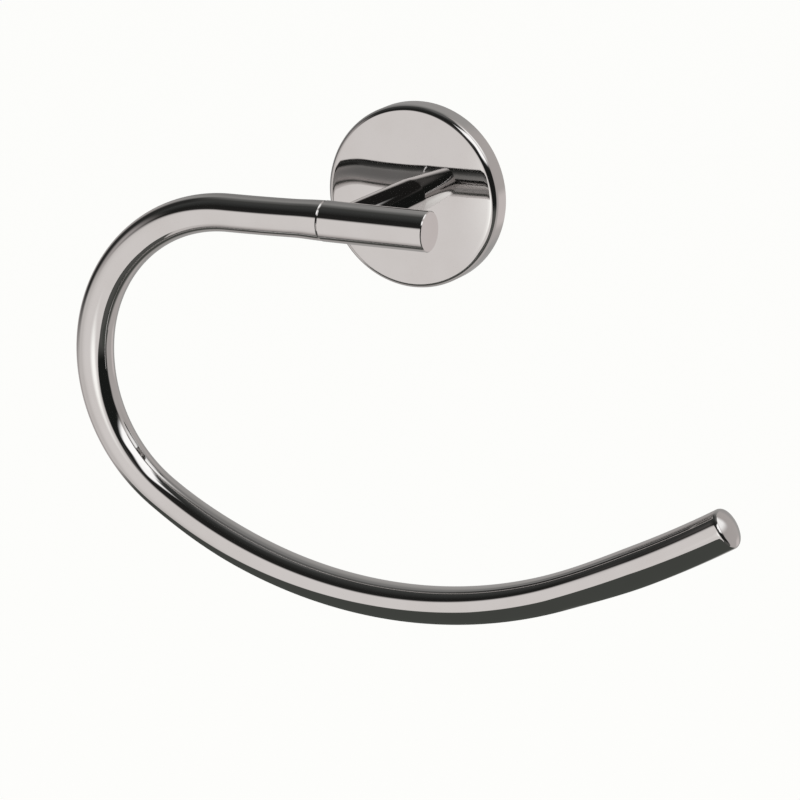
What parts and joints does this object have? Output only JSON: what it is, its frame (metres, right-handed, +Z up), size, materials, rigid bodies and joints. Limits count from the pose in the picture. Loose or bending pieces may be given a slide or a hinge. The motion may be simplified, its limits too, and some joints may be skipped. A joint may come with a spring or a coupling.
{
  "type": "towel ring",
  "caption": "Open towel ring for a wall: round rosette, post, barrel across the post's end and one bent bar with a free end.",
  "frame": {"origin": "centre of the rosette's back, on the wall", "axes": "+Y into the wall, +Z up, +X to the right seen from the room, where the bar's free end points"},
  "size_m": [0.2121, 0.0523, 0.1444],
  "materials": {
    "chrome_plate": "polished",
    "bracket_metal": "as cast",
    "screw_steel": "turned"
  },
  "bodies": {
    "root": {"wall_bracket": "bracket_metal", "rosette": "chrome_plate", "set_screw": "screw_steel", "post": "chrome_plate", "barrel": "chrome_plate", "ring": "chrome_plate", "clamp_screw": "screw_steel", "clamp_washer": "screw_steel"}
  },
  "joints": []
}
